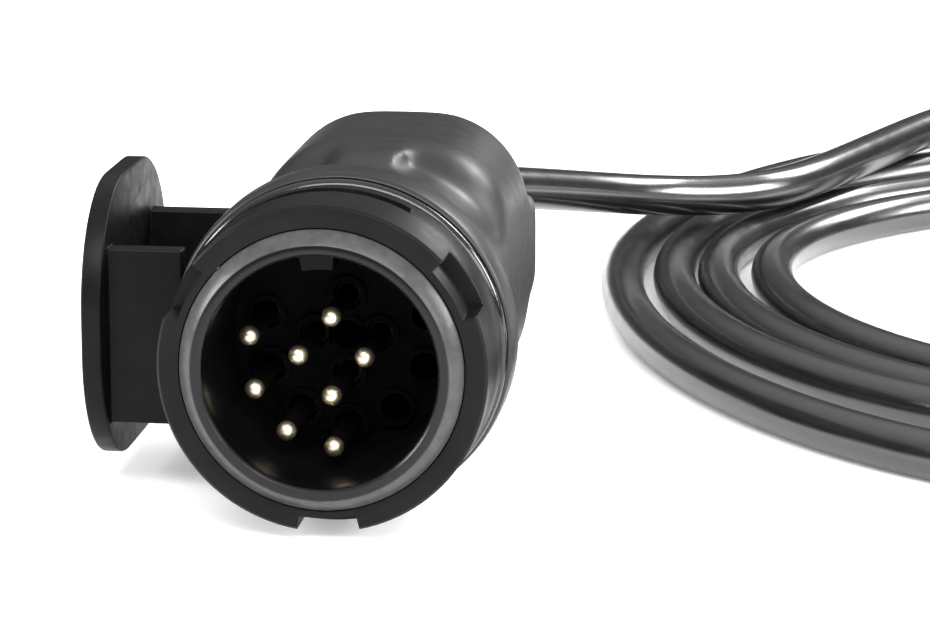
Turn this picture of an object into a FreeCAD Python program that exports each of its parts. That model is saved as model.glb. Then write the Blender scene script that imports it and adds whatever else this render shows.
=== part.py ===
"""Thirteen-way trailer plug with eight contacts fitted, a grip wing and a coiled lead.

The plug lies on its side with its axis along Y. The mating face looks towards -Y,
the cable leaves towards +Y, and +Z is up. The origin is under the middle of the plug.
Local sizes are given from the plug's axis (x, z) and from its front rim (y), in mm.
"""
import FreeCAD
import Part
import math
import os

from FreeCAD import Vector

# ---- overall sizes ----------------------------------------------------------
body_length = 112.0        # front rim to the rear of the gland nut
flange_radius = 23.0       # widest circle of the housing, which rests on the table
wing_reach = 35.0          # axis to the outer face of the grip wing

# ---- contact insert ---------------------------------------------------------
shroud_radius = 18.6
shroud_bore = 15.3
shroud_chamfer = 1.8
shroud_length = 13.0       # thick front part, back to its shoulder
insert_radius = 17.5       # thinner rear part, which sits in the housing
cavity_depth = 24.0        # front rim to the contact plate
plate_end = 38.0           # rear face of the contact plate
cavity_radius = 2.0
inner_pitch = (4.4, 5.3)       # half width and half height of the contact pattern
outer_pitch = (11.1, 12.2)
outer_first_angle = 168.4
outer_step_angle = 34.3
outer_count = 8
inner_count = 4
outer_fitted = 4           # outer cavities that hold a contact
key_width = 4.6
key_height = 2.3
key_angle = 93.0
key_start = 3.5

# ---- contacts ---------------------------------------------------------------
pin_radius = 1.3
pin_tip = 9.0              # front rim to the pin's tip
pin_collar_start = 25.0
barrel_radius = 2.3
barrel_length = 8.0
wire_hole_depth = 4.0
terminal_screw_radius = 0.9
terminal_screw_length = 2.2

# ---- coupling ring ----------------------------------------------------------
ring_front = 2.0
ring_end = 15.4
claw_end = 8.6
claw_depth = 3.0           # claws, out from the shroud
claw_radius = shroud_radius + claw_depth
ring_skirt_step = 0.3      # skirt beyond the claws
ring_skirt_radius = claw_radius + ring_skirt_step
ring_wall = 0.8            # wall left under the gaps between the claws
claw_count = 3
claw_span = 98.0
claw_first_angle = 43.0
ring_lip_start = 13.3
slot_width = 2.4
slot_middle = 11.7
slot_start_angle = 62.0
ring_travel = 80.0         # how far the ring turns, in degrees
peg_radius = 0.9
peg_length = 3.9

# ---- seals and clip ---------------------------------------------------------
ring_seal_wire = 1.0       # section radius of the seal behind the coupling ring
insert_seal_wire = 0.9
insert_seal_middle = 21.5
clip_wire = 0.6
clip_middle = 34.0

# ---- housing ----------------------------------------------------------------
shell_front = 17.6
shell_wall = 2.8
flange_start = 19.6
flange_end = 24.0
waist_radius = 19.2
waist_middle = 42.0
block_start = 44.0
block_end = 88.0
block_half_width = 18.0
block_half_height = 20.5
block_corner = 12.0
block_edge = 6.0
tail_radius = 9.0
tail_end = 105.0
tail_root_radius = 13.5
tail_root = 93.0

# ---- grip wing --------------------------------------------------------------
paddle_length = 44.0
paddle_height = 38.8
paddle_thickness = 2.8
paddle_corner = 16.5
paddle_middle = 39.0
web_thickness = 3.0
web_half_height = 12.0
front_web_start = 21.5
rear_web_start = 49.0

# ---- cable entry ------------------------------------------------------------
cable_radius = 3.5
jacket_start = 72.0
clamp_start = 75.0
clamp_length = 6.0
clamp_half_width = 9.0
clamp_height = 6.5
clamp_screw_offset = 6.4
clamp_screw_radius = 1.2
clamp_head_radius = 2.1
clamp_head_height = 1.6
clamp_screw_depth = 9.0
grommet_start = 96.0
grommet_radius = 6.5
nut_start = 94.5
nut_radius = 11.6
nut_end_wall = 6.0
nut_rib_count = 18
nut_rib_radius = 0.7

# ---- cores ------------------------------------------------------------------
core_radius = 0.65
core_gather = 0.21         # cores in the cable keep the contacts' pattern at this scale
core_straight = 5.0

# ---- free lead --------------------------------------------------------------
coil_middle = (112.0, 168.0)                   # where the turns are widest and deepest
coil_outside = (24.0, 180.0, 30.4, 313.0)      # left, right, front and back of the widest turn
coil_inside = (51.5, 154.5, 79.0, 241.0)       # the same of the tightest turn
coil_left_roundness = 1.9                      # 2 is an ellipse, more is squarer
coil_right_roundness = 2.2
lead_points = (
    (0.0, 112.0, 23.0),
    (0.0, 125.0, 22.9),
    (5.0, 137.0, 21.8),
    (12.0, 153.0, 18.6),
    (19.5, 168.5, 15.3),
    (28.0, 181.0, 12.6),
    (38.0, 189.5, 11.1),
    (47.0, 197.5, 10.8),
    (54.0, 210.0, 10.8),
    (60.0, 226.0, 10.8),
    (66.0, 243.0, 10.8),
    (72.5, 261.0, 10.8),
    (80.0, 278.0, 10.8),
    (89.0, 293.0, 10.8),
    (99.5, 304.0, 10.8),
    (113.0, 310.5, 10.3),
    (127.5, 311.0, 7.8),
    (140.0, 306.0, 5.6),
)
tail_points = (
    (128.5, 236.0, 3.5),
    (137.3, 226.0, 3.5),
    (141.0, 212.5, 3.5),
    (139.5, 198.0, 3.5),
    (131.0, 187.0, 3.5),
    (118.0, 181.5, 3.5),
    (103.0, 181.5, 3.5),
)
tail_core_length = 26.0

# ---- clearances -------------------------------------------------------------
running_gap = 0.3          # turning ring to what it turns on
seat_gap = 0.2             # insert in the housing
press_gap = 0.01           # pressed pins and contacts

# ---- derived places ---------------------------------------------------------
axis_x = (wing_reach - flange_radius) / 2
axis_z = flange_radius
front_y = -body_length / 2
slot_peg_angle = math.degrees(peg_radius / (shroud_radius + running_gap))
peg_clear_angle = 1.0
slot_end_angle = slot_start_angle + ring_travel + 2 * (slot_peg_angle + peg_clear_angle)
peg_angle = slot_end_angle - slot_peg_angle - peg_clear_angle
ring_bore = shroud_radius + running_gap
ring_lip_bore = insert_radius + running_gap
shell_bore = insert_radius + seat_gap
barrel_start = plate_end + press_gap
barrel_end = barrel_start + barrel_length
cable_seat = cable_radius + press_gap
nut_bore = tail_radius + press_gap
ORIGIN = Vector(0, 0, 0)
FORWARD = Vector(0, -1, 0)
REARWARD = Vector(0, 1, 0)


def place(shape):
    """Move a shape from the plug's own sizes to the part's frame."""
    moved = shape.copy()
    moved.translate(Vector(axis_x, front_y, axis_z))
    return moved


def export(node, shape):
    """Write one node, after a check that its solids are sound."""
    solids = shape.Solids
    if not solids or not shape.isValid():
        raise RuntimeError("bad shape in " + node)
    target = solids[0] if len(solids) == 1 else Part.makeCompound(solids)
    target.exportStep(os.path.join("parts", node + ".step"))
    print("%-18s solids %d volume %.1f" % (node, len(solids), shape.Volume))


def lathe(points, angle=360.0, start=0.0):
    """Turn a closed outline of (y, radius) points about the plug's axis."""
    corners = [Vector(radius, y, 0) for y, radius in points]
    outline = Part.makePolygon(corners + corners[:1])
    turned = Part.Face(outline).revolve(ORIGIN, FORWARD, angle)
    turned.rotate(ORIGIN, FORWARD, start)
    return turned


def sector(inner, outer, y0, y1, start, span):
    """Give a block between two radii and two angles, seen from the front."""
    return lathe([(y0, inner), (y1, inner), (y1, outer), (y0, outer)], span, start)


def rod(radius, y0, y1, x=0.0, z=0.0):
    """Give a cylinder along the plug's axis."""
    return Part.makeCylinder(radius, y1 - y0, Vector(x, y0, z), REARWARD)


def oval(angle, halves):
    """Point at an angle on an oval round the axis, seen from the front."""
    turn = math.radians(angle)
    return halves[0] * math.cos(turn), halves[1] * math.sin(turn)


def around(angle, radius):
    """Give x and z at an angle and a radius, seen from the front."""
    turn = math.radians(angle)
    return radius * math.cos(turn), radius * math.sin(turn)


def ring(middle_radius, wire, y):
    """Give a round-section ring about the plug's axis."""
    return Part.makeTorus(middle_radius, wire, Vector(0, y, 0), REARWARD)


def block(x0, x1, y0, y1, z0, z1):
    """Give a box between two corners."""
    return Part.makeBox(x1 - x0, y1 - y0, z1 - z0, Vector(x0, y0, z0))


def cavity_places():
    """Give each cavity's x, z and whether a contact is fitted."""
    places = []
    for index in range(outer_count):
        x, z = oval(outer_first_angle + index * outer_step_angle, outer_pitch)
        places.append((x, z, index < outer_fitted))
    for index in range(inner_count):
        x, z = oval(90.0 + index * 360.0 / inner_count, inner_pitch)
        places.append((x, z, True))
    places.append((0.0, 0.0, False))
    return places


def tube(points, radius, label):
    """Sweep a round section along straight runs joined by tangent arcs."""
    corners = [Vector(*p) for p in points]
    edges = []
    radii = []
    last = corners[0]
    for index in range(1, len(corners) - 1):
        before = corners[index] - corners[index - 1]
        after = corners[index + 1] - corners[index]
        turn = before.getAngle(after)
        trim = 0.45 * min(before.Length, after.Length)
        radii.append(trim / math.tan(turn / 2))
        way_in = Vector(before).normalize()
        way_out = Vector(after).normalize()
        start = corners[index] - way_in * trim
        end = corners[index] + way_out * trim
        inward = (way_out - way_in).normalize()
        sagitta = radii[-1] * (1 / math.cos(turn / 2) - 1)
        middle = corners[index] + inward * sagitta
        edges.append(Part.LineSegment(last, start).toShape())
        edges.append(Part.Arc(start, middle, end).toShape())
        last = end
    edges.append(Part.LineSegment(last, corners[-1]).toShape())
    path = Part.Wire(edges)
    section = Part.Wire(Part.makeCircle(radius, corners[0], corners[1] - corners[0]))
    swept = path.makePipeShell([section], True, False)
    expected = math.pi * radius * radius * path.Length
    print("%s length %.1f radii %s" % (label, path.Length, [round(r, 1) for r in radii]))
    print("%s volume over section times length %.5f" % (label, swept.Volume / expected))
    return swept


def make_insert():
    """Shroud, contact plate, key and cavities in one moulding."""
    body = lathe([
        (0.0, shroud_bore),
        (0.0, shroud_radius - shroud_chamfer),
        (shroud_chamfer, shroud_radius),
        (shroud_length, shroud_radius),
        (shroud_length, insert_radius),
        (plate_end, insert_radius),
        (plate_end, 0.0),
        (cavity_depth, 0.0),
        (cavity_depth, shroud_bore),
    ])
    key = block(-key_width / 2, key_width / 2, key_start, cavity_depth, shroud_bore - key_height, shroud_bore + 0.5)
    key.rotate(ORIGIN, FORWARD, key_angle - 90.0)
    body = body.fuse(key)
    for x, z, fitted in cavity_places():
        body = body.cut(rod(cavity_radius, cavity_depth - 0.5, plate_end + 0.5, x, z))
    body = body.cut(ring(insert_radius, clip_wire + press_gap, clip_middle))
    body = body.cut(ring(insert_radius, insert_seal_wire, insert_seal_middle))
    body = body.cut(peg_shape(press_gap))
    return body.removeSplitter()


def peg_shape(extra):
    """Radial peg that ends the coupling ring's travel."""
    peg = Part.makeCylinder(peg_radius + extra, peg_length, Vector(shroud_bore + 1.0, slot_middle, 0), Vector(1, 0, 0))
    peg.rotate(ORIGIN, FORWARD, peg_angle)
    return peg


def make_pin(x, z):
    """One contact: ball-ended pin, collar and screw barrel."""
    pin = rod(pin_radius, pin_tip + pin_radius, pin_collar_start, x, z)
    pin = pin.fuse(Part.makeSphere(pin_radius, Vector(x, pin_tip + pin_radius, z)))
    pin = pin.fuse(rod(cavity_radius - press_gap, pin_collar_start, barrel_start, x, z))
    pin = pin.fuse(rod(barrel_radius, barrel_start, barrel_end, x, z))
    pin = pin.cut(rod(core_radius + press_gap, barrel_end - wire_hole_depth, barrel_end + 1, x, z))
    pin = pin.cut(terminal_hole(x, z, terminal_screw_radius + press_gap))
    return pin.removeSplitter()


def terminal_hole(x, z, radius):
    """Radial hole or screw at the top of a contact's barrel."""
    y = barrel_end - wire_hole_depth / 2
    foot = Vector(x, y, z + core_radius + press_gap)
    return Part.makeCylinder(radius, terminal_screw_length, foot, Vector(0, 0, 1))


def make_coupling_ring():
    """Claw ring with its slot and the lip that keeps it on the insert."""
    body = lathe([
        (ring_front, ring_bore),
        (ring_front, claw_radius - 0.5),
        (ring_front + 0.5, claw_radius),
        (claw_end, claw_radius),
        (claw_end + 0.8, ring_skirt_radius),
        (ring_end - 0.4, ring_skirt_radius),
        (ring_end, ring_skirt_radius - 0.4),
        (ring_end, ring_lip_bore),
        (ring_lip_start, ring_lip_bore),
        (ring_lip_start, ring_bore),
    ])
    gap_span = 360.0 / claw_count - claw_span
    for index in range(claw_count):
        start = claw_first_angle + claw_span + index * 360.0 / claw_count
        body = body.cut(sector(ring_bore + ring_wall, claw_radius + 2, ring_front - 1, claw_end, start, gap_span))
    slot_span = slot_end_angle - slot_start_angle
    slot = sector(ring_bore - 1, ring_skirt_radius + 2, slot_middle - slot_width / 2,
                  slot_middle + slot_width / 2, slot_start_angle, slot_span)
    return body.cut(slot).removeSplitter()


def rounded_block(half_width, half_height, y0, y1, corner):
    """Give a block along the axis with its four long edges rounded."""
    body = block(-half_width, half_width, y0, y1, -half_height, half_height)
    long_edges = [e for e in body.Edges if abs(e.tangentAt(e.FirstParameter).y) > 0.9]
    return body.makeFillet(corner, long_edges)


def shell_outside():
    """Outer form of the housing, without its hollow."""
    waist_run = block_start + block_edge
    nose = [
        (shell_front, 0.0),
        (shell_front, flange_radius - 1.2),
        (flange_start, flange_radius),
        (flange_end, flange_radius),
        (flange_end + 5.0, flange_radius - 1.2),
        (waist_middle - 6.0, waist_radius + 0.5),
        (waist_middle, waist_radius),
        (waist_run, waist_radius),
        (waist_run, 0.0),
    ]
    grip = rounded_block(block_half_width, block_half_height, block_start, block_end, block_corner)
    end_edges = [e for e in grip.Edges if abs(e.CenterOfMass.y - block_start) < 0.01
                 or abs(e.CenterOfMass.y - block_end) < 0.01]
    grip = grip.makeFillet(block_edge, end_edges)
    tail = lathe([
        (block_end - block_edge, 0.0),
        (block_end - block_edge, tail_root_radius + 1.5),
        (block_end, tail_root_radius + 1.5),
        (tail_root, tail_root_radius - 2.5),
        (tail_root, tail_radius),
        (tail_end, tail_radius),
        (tail_end, 0.0),
    ])
    return lathe(nose).fuse(grip).fuse(tail)


def make_shell():
    """Hollow housing with the bore for the insert, clamp bridge and threaded tail."""
    outside = shell_outside()
    bore = rod(shell_bore, shell_front - 1, plate_end + press_gap)
    hollow = rounded_block(block_half_width - shell_wall, block_half_height - shell_wall,
                           block_start + 2 * shell_wall, block_end - block_edge, block_corner - shell_wall)
    throat = rod(insert_radius - 2.0, plate_end, block_start + 2 * shell_wall + 1)
    body = outside.cut(bore).cut(throat).cut(hollow)
    bridge = block(-clamp_half_width - 2, clamp_half_width + 2, clamp_start, clamp_start + clamp_length,
                   -block_half_height + shell_wall / 2, -press_gap)
    body = body.fuse(bridge)
    body = body.cut(rod(cable_seat, clamp_start - 1, body_length))
    body = body.cut(rod(grommet_radius + press_gap, grommet_start, tail_end + 1))
    body = body.cut(ring(shell_bore, clip_wire + press_gap, clip_middle))
    body = body.cut(ring(ring_seal_radius(), ring_seal_wire, ring_seal_middle()))
    for side in (-1, 1):
        body = body.cut(clamp_screw(side, press_gap))
    return body.removeSplitter()


def ring_seal_radius():
    """Middle radius of the seal between the ring and the housing."""
    return flange_radius - 0.6 - ring_seal_wire


def ring_seal_middle():
    """Place of that seal along the axis, clear of the turning ring."""
    return ring_end + running_gap + ring_seal_wire


def clamp_screw(side, extra):
    """One clamp screw, from its head down into the housing's bridge."""
    x = side * clamp_screw_offset
    y = clamp_start + clamp_length / 2
    foot = Vector(x, y, -clamp_screw_depth)
    seat = Vector(x, y, clamp_height + press_gap)
    upward = Vector(0, 0, 1)
    shank = Part.makeCylinder(clamp_screw_radius + extra, clamp_height + clamp_screw_depth + 1.0, foot, upward)
    head = Part.makeCylinder(clamp_head_radius, clamp_head_height, seat, upward)
    return shank.fuse(head).removeSplitter()


def make_clamp():
    """Saddle that holds the cable down on the bridge."""
    body = block(-clamp_half_width, clamp_half_width, clamp_start, clamp_start + clamp_length, press_gap, clamp_height)
    body = body.cut(rod(cable_seat, clamp_start - 1, clamp_start + clamp_length + 1))
    for side in (-1, 1):
        body = body.cut(clamp_screw(side, press_gap))
    return body.removeSplitter()


def make_wing():
    """Paddle and its two webs, cut to the housing they meet."""
    inner_face = -wing_reach + paddle_thickness
    paddle = block(-wing_reach, inner_face, paddle_middle - paddle_length / 2, paddle_middle + paddle_length / 2,
                   -paddle_height / 2, paddle_height / 2)
    corners = [e for e in paddle.Edges if abs(e.tangentAt(e.FirstParameter).x) > 0.9]
    paddle = paddle.makeFillet(paddle_corner, corners)
    rims = [e for e in paddle.Edges if abs(e.BoundBox.XLength) < 0.01]
    body = paddle.makeFillet(paddle_thickness / 3, rims)
    for start in (front_web_start, rear_web_start):
        web = block(inner_face - 0.5, -waist_radius / 2, start, start + web_thickness,
                    -web_half_height, web_half_height)
        body = body.fuse(web)
    kept = max(body.cut(shell_outside()).Solids, key=lambda solid: solid.Volume)
    return kept


def make_grommet():
    """Rubber sleeve that grips the cable in the tail."""
    return lathe([
        (grommet_start + press_gap, cable_seat),
        (tail_end + 0.5, cable_seat),
        (tail_end + 0.5, grommet_radius - 0.8),
        (tail_end - 1.0, grommet_radius),
        (grommet_start + press_gap, grommet_radius),
    ])


def make_gland_nut():
    """Ribbed cap nut on the tail."""
    body = lathe([
        (nut_start, nut_bore),
        (body_length - nut_end_wall, nut_bore),
        (body_length - nut_end_wall, cable_seat + running_gap),
        (body_length, cable_seat + running_gap),
        (body_length, nut_radius - 3.5),
        (body_length - 3.5, nut_radius),
        (nut_start + 0.8, nut_radius),
        (nut_start, nut_radius - 0.8),
    ])
    for index in range(nut_rib_count):
        x, z = around(index * 360.0 / nut_rib_count, nut_radius)
        body = body.cut(rod(nut_rib_radius, nut_start - 1, body_length - 3.5, x, z))
    return body.removeSplitter()


def core_in_cable(x, z, middle_x, middle_z):
    """Place of a core at the end of the jacket."""
    return (x - middle_x) * core_gather, (z - middle_z) * core_gather


def make_core(x, z, gathered):
    """One core from its contact's barrel to the jacket."""
    start = barrel_end - wire_hole_depth + 0.5
    return tube([
        (x, start, z),
        (x, barrel_end + core_straight, z),
        (gathered[0], jacket_start - core_straight, gathered[1]),
        (gathered[0], jacket_start, gathered[1]),
    ], core_radius, "core")


def to_frame(point):
    """Put a cable point, given from the axis and the front rim, in the part's frame."""
    return (point[0] + axis_x, point[1] + front_y, point[2])


def coil_point(edges, angle):
    """Place on a turn that reaches out to the four edges."""
    left, right, front, back = edges
    across, deep = math.cos(math.radians(angle)), math.sin(math.radians(angle))
    power = 2.0 / (coil_right_roundness if across > 0 else coil_left_roundness)
    reach_x = (right if across > 0 else left) - coil_middle[0]
    reach_y = (back if deep > 0 else front) - coil_middle[1]
    return (coil_middle[0] + reach_x * abs(across) ** power,
            coil_middle[1] + reach_y * abs(deep) ** power, 0.0)


def make_coil():
    """Flat egg-shaped ring that the coiled turns fill."""
    faces = []
    for edges, grow in ((coil_outside, cable_radius), (coil_inside, -cable_radius)):
        left, right, front, back = edges
        grown = (left - grow, right + grow, front - grow, back + grow)
        outline = Part.BSplineCurve()
        outline.interpolate(Points=[Vector(*to_frame(coil_point(grown, angle))) for angle in range(0, 360, 15)],
                            PeriodicFlag=True)
        faces.append(Part.Face(Part.Wire(outline.toShape())))
    return faces[0].cut(faces[1]).extrude(Vector(0, 0, 2 * cable_radius))


def main():
    """Build every node and write it out."""
    os.makedirs("parts", exist_ok=True)
    export("contact_insert", place(make_insert()))
    export("stop_peg", place(peg_shape(0.0)))
    export("coupling_ring", place(make_coupling_ring()))
    export("ring_seal", place(ring(ring_seal_radius(), ring_seal_wire, ring_seal_middle())))
    seal = ring(insert_radius, insert_seal_wire, insert_seal_middle).cut(
        lathe([(0, shell_bore), (plate_end, shell_bore), (plate_end, 30), (0, 30)]))
    export("insert_seal", place(seal))
    export("insert_clip", place(ring(insert_radius + seat_gap / 2, clip_wire - seat_gap / 2, clip_middle)))
    export("rear_shell", place(make_shell()))
    export("grip_wing", place(make_wing()))
    export("cable_clamp", place(make_clamp()))
    export("clamp_screws", place(Part.makeCompound([clamp_screw(-1, 0.0), clamp_screw(1, 0.0)])))
    export("cable_grommet", place(make_grommet()))
    export("gland_nut", place(make_gland_nut()))
    fitted = [(x, z) for x, z, is_fitted in cavity_places() if is_fitted]
    middle_x = (min(x for x, z in fitted) + max(x for x, z in fitted)) / 2
    middle_z = (min(z for x, z in fitted) + max(z for x, z in fitted)) / 2
    screws = []
    for number, (x, z) in enumerate(fitted, 1):
        export("contact_pin_%d" % number, place(make_pin(x, z)))
        gathered = core_in_cable(x, z, middle_x, middle_z)
        export("core_%d" % number, place(make_core(x, z, gathered)))
        screws.append(terminal_hole(x, z, terminal_screw_radius))
    export("terminal_screws", place(Part.makeCompound(screws)))
    export("cable_stub", place(rod(cable_radius, jacket_start, body_length)))
    export("cable_lead", tube([to_frame(p) for p in lead_points], cable_radius, "cable_lead"))
    export("cable_coil", make_coil())
    export("cable_tail", tube([to_frame(p) for p in tail_points], cable_radius, "cable_tail"))
    export("tail_cores", make_tail_cores(fitted, middle_x, middle_z))


def make_tail_cores(fitted, middle_x, middle_z):
    """Stripped core ends that stick out of the lead's free end."""
    end = Vector(*to_frame(tail_points[-1]))
    before = Vector(*to_frame(tail_points[-2]))
    along = (end - before).normalize()
    across = Vector(-along.y, along.x, 0)
    cores = []
    for x, z in fitted:
        side, height = core_in_cable(x, z, middle_x, middle_z)
        foot = end + across * side + Vector(0, 0, height)
        cores.append(Part.makeCylinder(core_radius, tail_core_length, foot, along))
    return Part.makeCompound(cores)


main()
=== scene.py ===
"""Looks of a thirteen-way trailer plug with a grip wing and a coiled lead."""
import bmesh
import bpy
import logging
import math
from dataclasses import dataclass, field
from enum import Enum
from typing import Callable

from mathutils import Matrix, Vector


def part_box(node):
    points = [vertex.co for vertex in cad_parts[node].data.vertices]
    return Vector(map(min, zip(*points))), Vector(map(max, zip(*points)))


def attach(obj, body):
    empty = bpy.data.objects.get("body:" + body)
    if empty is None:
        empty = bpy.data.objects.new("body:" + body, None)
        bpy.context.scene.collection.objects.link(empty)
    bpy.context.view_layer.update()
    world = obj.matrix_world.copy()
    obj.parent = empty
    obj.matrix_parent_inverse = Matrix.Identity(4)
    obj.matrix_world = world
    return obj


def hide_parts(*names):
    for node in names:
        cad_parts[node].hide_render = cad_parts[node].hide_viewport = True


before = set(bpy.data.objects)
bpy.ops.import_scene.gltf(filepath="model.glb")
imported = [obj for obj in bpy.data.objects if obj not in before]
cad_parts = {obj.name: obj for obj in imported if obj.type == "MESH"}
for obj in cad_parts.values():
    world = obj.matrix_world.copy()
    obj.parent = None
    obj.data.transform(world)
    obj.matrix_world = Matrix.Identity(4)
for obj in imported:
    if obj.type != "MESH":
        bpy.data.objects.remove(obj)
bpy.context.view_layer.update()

MM = 0.001
PLUG = "plug"
TURNING = "coupling_ring"
log = logging.getLogger("trailer_plug")

Colour = tuple[float, float, float]
Profile = list[tuple[float, float]]


@dataclass(frozen=True)
class Axis:
    """The plug's own axis, read from the frame."""

    x: float
    z: float
    front: float

    @classmethod
    def from_frame(cls) -> "Axis":
        """Read the axis and the front rim from the insert's box."""
        low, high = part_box("contact_insert")
        return cls((low[0] + high[0]) / 2, (low[2] + high[2]) / 2, low[1])

    def at(self, x: float, y: float, z: float) -> Vector:
        """Give a place in metres from millimetres off the axis and the rim.

        Args:
            x: distance to the side of the axis, in millimetres.
            y: distance behind the front rim, in millimetres.
            z: height over the axis, in millimetres.

        Returns:
            The place in the frame.
        """
        return Vector((self.x + x * MM, self.front + y * MM, self.z + z * MM))

    def around(self, angle: float, radius: float, y: float) -> Vector:
        """Give a place at an angle in degrees, seen from the front."""
        turn = math.radians(angle)
        return self.at(radius * math.cos(turn), y, radius * math.sin(turn))


AXIS = Axis.from_frame()


class Cut(Enum):
    """How one piece changes another."""

    TAKE_AWAY = "DIFFERENCE"
    ADD = "UNION"


# ---- modelling steps --------------------------------------------------------
def deselect() -> None:
    """Leave edit mode and deselect everything."""
    if bpy.context.object and bpy.context.object.mode != "OBJECT":
        bpy.ops.object.mode_set(mode="OBJECT")
    for thing in bpy.context.selected_objects:
        thing.select_set(False)


def pick(piece: bpy.types.Object) -> None:
    """Make one piece the only selected and active one."""
    deselect()
    piece.select_set(True)
    bpy.context.view_layer.objects.active = piece


def settle(name: str) -> bpy.types.Object:
    """Name the new primitive and move its place into its mesh.

    Args:
        name: the piece's name.

    Returns:
        The piece, with its object at the origin.
    """
    piece = bpy.context.object
    piece.name = name
    piece.data.name = name
    pick(piece)
    bpy.ops.object.transform_apply(location=True, rotation=True, scale=True)
    return piece


def tidy(piece: bpy.types.Object) -> None:
    """Merge doubles and turn all faces outwards."""
    pick(piece)
    bpy.ops.object.mode_set(mode="EDIT")
    bpy.ops.mesh.select_all(action="SELECT")
    bpy.ops.mesh.remove_doubles(threshold=1e-6)
    bpy.ops.mesh.normals_make_consistent(inside=False)
    bpy.ops.object.mode_set(mode="OBJECT")


def lathe(name: str, outline: Profile, segments: int = 180,
          centre: tuple[float, float] = (0.0, 0.0)) -> bpy.types.Object:
    """Build a turned piece by extruding and scaling a circle along the axis.

    Args:
        name: the piece's name.
        outline: (y, radius) points in millimetres; a closed ring repeats its first point.
        segments: vertices round the axis.
        centre: x and z of the piece's own axis, in millimetres off the plug's axis.

    Returns:
        The turned piece.
    """
    deselect()
    y, radius = outline[0]
    flat_start = radius < 1e-6
    start = outline[1][1] * MM if flat_start else radius * MM
    bpy.ops.mesh.primitive_circle_add(
        vertices=segments, radius=start, location=AXIS.at(centre[0], y, centre[1]),
        rotation=(math.pi / 2, 0, 0),
        fill_type="NGON" if flat_start else "NOTHING")
    piece = settle(name)
    bpy.ops.object.mode_set(mode="EDIT")
    bpy.ops.mesh.select_all(action="SELECT")
    steps = outline[2:] if flat_start else outline[1:]
    last_y, last_radius = (outline[1] if flat_start else outline[0])
    for next_y, next_radius in steps:
        if next_radius < 1e-6:
            bpy.ops.mesh.edge_face_add()
            continue
        bpy.ops.mesh.extrude_region_move(TRANSFORM_OT_translate={"value": (0, (next_y - last_y) * MM, 0)})
        scale = next_radius / last_radius
        bpy.ops.transform.resize(value=(scale, 1, scale),
                                 center_override=AXIS.at(centre[0], next_y, centre[1]))
        last_y, last_radius = next_y, next_radius
    bpy.ops.object.mode_set(mode="OBJECT")
    tidy(piece)
    return piece


def sector(name: str, radii: tuple[float, float], run: tuple[float, float],
           start: float, span: float) -> bpy.types.Object:
    """Build a block between two radii and two angles by spinning a plane.

    Args:
        name: the piece's name.
        radii: inner and outer radius, in millimetres.
        run: front and rear y, in millimetres.
        start: first angle in degrees, seen from the front.
        span: how far it reaches from there, in degrees.

    Returns:
        The closed block.
    """
    deselect()
    middle = AXIS.around(start, sum(radii) / 2, sum(run) / 2)
    bpy.ops.mesh.primitive_plane_add(size=MM, location=middle, rotation=(0, -math.radians(start), 0))
    bpy.context.object.scale = (radii[1] - radii[0], run[1] - run[0], 1)
    piece = settle(name)
    bpy.ops.object.mode_set(mode="EDIT")
    bpy.ops.mesh.select_all(action="SELECT")
    bpy.ops.mesh.spin(steps=max(4, round(span / 2)), angle=math.radians(span),
                      center=AXIS.at(0, 0, 0), axis=(0, 1, 0))
    bpy.ops.object.mode_set(mode="OBJECT")
    tidy(piece)
    return piece


def box(name: str, low: Vector, high: Vector) -> bpy.types.Object:
    """Build a cuboid between two corners, ready to be shaped."""
    deselect()
    bpy.ops.mesh.primitive_cube_add(size=1, location=(low + high) / 2)
    bpy.context.object.scale = high - low
    return settle(name)


def bevel_edges(piece: bpy.types.Object, chosen: Callable[[bmesh.types.BMEdge], bool],
                width: float, steps: int) -> None:
    """Bevel the edges that a test chooses.

    Args:
        piece: the piece to work on.
        chosen: a test of one edge.
        width: the bevel's width, in millimetres.
        steps: how many faces the bevel gets.
    """
    pick(piece)
    bpy.ops.object.mode_set(mode="EDIT")
    bpy.ops.mesh.select_all(action="DESELECT")
    mesh = bmesh.from_edit_mesh(piece.data)
    for edge in mesh.edges:
        edge.select_set(chosen(edge))
    bmesh.update_edit_mesh(piece.data)
    bpy.ops.mesh.bevel(offset=width * MM, segments=steps, affect="EDGES")
    bpy.ops.object.mode_set(mode="OBJECT")


def along(axis: int) -> Callable[[bmesh.types.BMEdge], bool]:
    """Give a test for edges that run along one axis."""
    def test(edge: bmesh.types.BMEdge) -> bool:
        """Tell whether the edge runs along the axis."""
        run = (edge.verts[1].co - edge.verts[0].co).normalized()
        return abs(run[axis]) > 0.99
    return test


def cut(piece: bpy.types.Object, tool: bpy.types.Object, way: Cut = Cut.TAKE_AWAY) -> None:
    """Cut a tool out of a piece or add it, and remove the tool.

    Args:
        piece: the piece that stays.
        tool: the piece that is used up.
        way: whether the tool is taken away or added.
    """
    pick(piece)
    step = piece.modifiers.new("cut", "BOOLEAN")
    step.object = tool
    step.operation = way.value
    step.solver = "MANIFOLD"
    bpy.ops.object.modifier_apply(modifier=step.name)
    bpy.data.objects.remove(tool)


def join(pieces: list[bpy.types.Object]) -> bpy.types.Object:
    """Join several pieces in one object."""
    pick(pieces[0])
    for piece in pieces[1:]:
        piece.select_set(True)
    if len(pieces) > 1:
        bpy.ops.object.join()
    return bpy.context.view_layer.objects.active


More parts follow.
